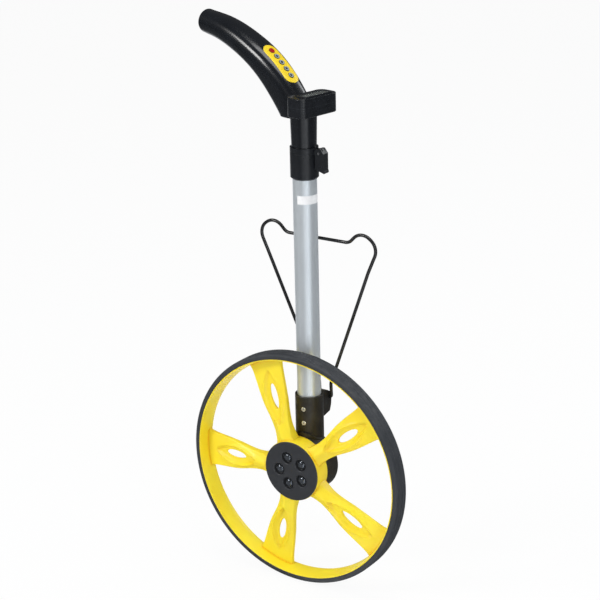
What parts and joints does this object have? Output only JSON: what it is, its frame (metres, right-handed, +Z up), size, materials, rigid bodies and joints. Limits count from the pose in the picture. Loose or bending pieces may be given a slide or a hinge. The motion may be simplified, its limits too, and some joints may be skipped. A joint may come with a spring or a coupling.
{
  "type": "measuring wheel",
  "caption": "Electronic measuring wheel: spoked yellow wheel on a drum bracket, telescopic pole with flip lock, wire kickstand and curved grip with keys and display.",
  "frame": {"origin": "where the tyre touches the ground, in the wheel's middle plane", "axes": "+Z up along the pole, +Y along the axle from the wheel to the drum and pole, +X forward (the grip points to -X, the user)"},
  "size_m": [0.3305, 0.0903, 0.7385],
  "materials": {
    "tyre": "matt rubber",
    "wheel_yellow": "satin moulded plastic",
    "hub_cap_plastic": "satin dark grey",
    "screw_steel": "dark zinc",
    "axle_steel": "turned",
    "bearing_steel": "ground",
    "cage_steel": "pressed",
    "encoder_black": "matt",
    "bracket_plastic": "fine pebbled",
    "board_green": "solder mask",
    "rivet_brass": "bright",
    "tube_aluminium": "satin anodised",
    "label_white": "paper",
    "clamp_plastic": "satin black",
    "pad_rubber": "matt",
    "wire_black": "satin black",
    "handle_gloss": "gloss black",
    "panel_yellow": "satin yellow",
    "button_red": "satin red",
    "button_grey": "satin grey",
    "battery_jacket": "plain jacket",
    "contact_brass": "sprung",
    "display_plastic": "satin black",
    "lcd_glass": "clear",
    "lcd_grey": "liquid crystal grey green",
    "cable_black": "matt"
  },
  "bodies": {
    "frame": {"arm_bracket": "bracket_plastic", "drum_cover": "bracket_plastic", "drum_cover_screws": "screw_steel", "sensor_board": "board_green", "sensor_board_screws": "screw_steel", "optical_sensor": "encoder_black", "tube_rivets": "rivet_brass", "lower_tube": "tube_aluminium", "tube_label": "label_white", "clamp_collar": "clamp_plastic", "friction_pad": "pad_rubber", "lever_pin": "axle_steel", "front_bearing_outer_ring": "bearing_steel", "rear_bearing_outer_ring": "bearing_steel", "sensor_lead": "cable_black", "coil_cord": "cable_black"},
    "wheel": {"tyre": "tyre", "wheel_rim": "wheel_yellow", "hub_cap": "hub_cap_plastic", "hub_cap_screws": "screw_steel", "axle": "axle_steel", "front_bearing_inner_ring": "bearing_steel", "rear_bearing_inner_ring": "bearing_steel", "bearing_spacer": "axle_steel", "encoder_disc": "encoder_black", "axle_circlip": "axle_steel"},
    "front_bearing_set": {"front_bearing_cage": "cage_steel", "front_bearing_balls": "bearing_steel"},
    "rear_bearing_set": {"rear_bearing_cage": "cage_steel", "rear_bearing_balls": "bearing_steel"},
    "kickstand": {"kickstand_wire": "wire_black"},
    "flip_lever": {"clamp_lever": "clamp_plastic"},
    "upper_pole": {"inner_tube": "tube_aluminium", "tube_glide": "clamp_plastic", "handle_socket": "handle_gloss", "socket_screw": "screw_steel", "handle_top_shell": "handle_gloss", "handle_bottom_shell": "handle_gloss", "handle_screws": "screw_steel", "button_panel": "panel_yellow", "tact_switches": "encoder_black", "button_board": "board_green", "batteries": "battery_jacket", "battery_contacts": "contact_brass", "display_case": "display_plastic", "display_bezel": "display_plastic", "display_screws": "screw_steel", "lcd_window": "lcd_glass", "lcd_module": "lcd_grey", "main_board": "board_green", "upper_lead": "cable_black"},
    "battery_cover": {"battery_door": "handle_gloss"},
    "power_key": {"power_button": "button_red"},
    "mode_key": {"mode_button": "button_grey"},
    "unit_key": {"unit_button": "button_grey"},
    "hold_key": {"hold_button": "button_grey"},
    "clear_key": {"clear_button": "button_grey"}
  },
  "joints": [
    {"name": "wheel_spin", "type": "hinge", "parent": "frame", "child": "wheel", "pos_m": [0, 0, 0.159], "axis": [0, 1, 0], "continuous": true},
    {"name": "front_bearing_roll", "type": "hinge", "parent": "frame", "child": "front_bearing_set", "pos_m": [0, 0.015, 0.159], "axis": [0, 1, 0], "continuous": true},
    {"name": "rear_bearing_roll", "type": "hinge", "parent": "frame", "child": "rear_bearing_set", "pos_m": [0, 0.024, 0.159], "axis": [0, 1, 0], "continuous": true},
    {"name": "kickstand_fold", "type": "hinge", "parent": "frame", "child": "kickstand", "pos_m": [0, 0.07, 0.236], "axis": [-1, 0, 0], "range_deg": [0, 150]},
    {"name": "pole_extend", "type": "slide", "parent": "frame", "child": "upper_pole", "axis": [0, 0, 1], "range_m": [0, 0.25], "deforming": ["coil_cord"]},
    {"name": "lever_flip", "type": "hinge", "parent": "frame", "child": "flip_lever", "pos_m": [0.0244, 0.0308, 0.5785], "axis": [0, -1, 0], "range_deg": [0, 90]},
    {"name": "door_lift", "type": "slide", "parent": "upper_pole", "child": "battery_cover", "axis": [-0.6291, 0.1109, -0.7694], "range_m": [0, 0.02]},
    {"name": "power_press", "type": "slide", "parent": "upper_pole", "child": "power_key", "axis": [-0.6291, 0.1109, -0.7694], "range_m": [0, 0.0008], "stiffness_N_per_m": 600},
    {"name": "mode_press", "type": "slide", "parent": "upper_pole", "child": "mode_key", "axis": [-0.6291, 0.1109, -0.7694], "range_m": [0, 0.0008], "stiffness_N_per_m": 600},
    {"name": "unit_press", "type": "slide", "parent": "upper_pole", "child": "unit_key", "axis": [-0.6291, 0.1109, -0.7694], "range_m": [0, 0.0008], "stiffness_N_per_m": 600},
    {"name": "hold_press", "type": "slide", "parent": "upper_pole", "child": "hold_key", "axis": [-0.6291, 0.1109, -0.7694], "range_m": [0, 0.0008], "stiffness_N_per_m": 600},
    {"name": "clear_press", "type": "slide", "parent": "upper_pole", "child": "clear_key", "axis": [-0.6291, 0.1109, -0.7694], "range_m": [0, 0.0008], "stiffness_N_per_m": 600}
  ],
  "couplings": [
    {"joint": "front_bearing_roll", "follows": "wheel_spin", "ratio": 0.3677},
    {"joint": "rear_bearing_roll", "follows": "wheel_spin", "ratio": 0.3677}
  ]
}
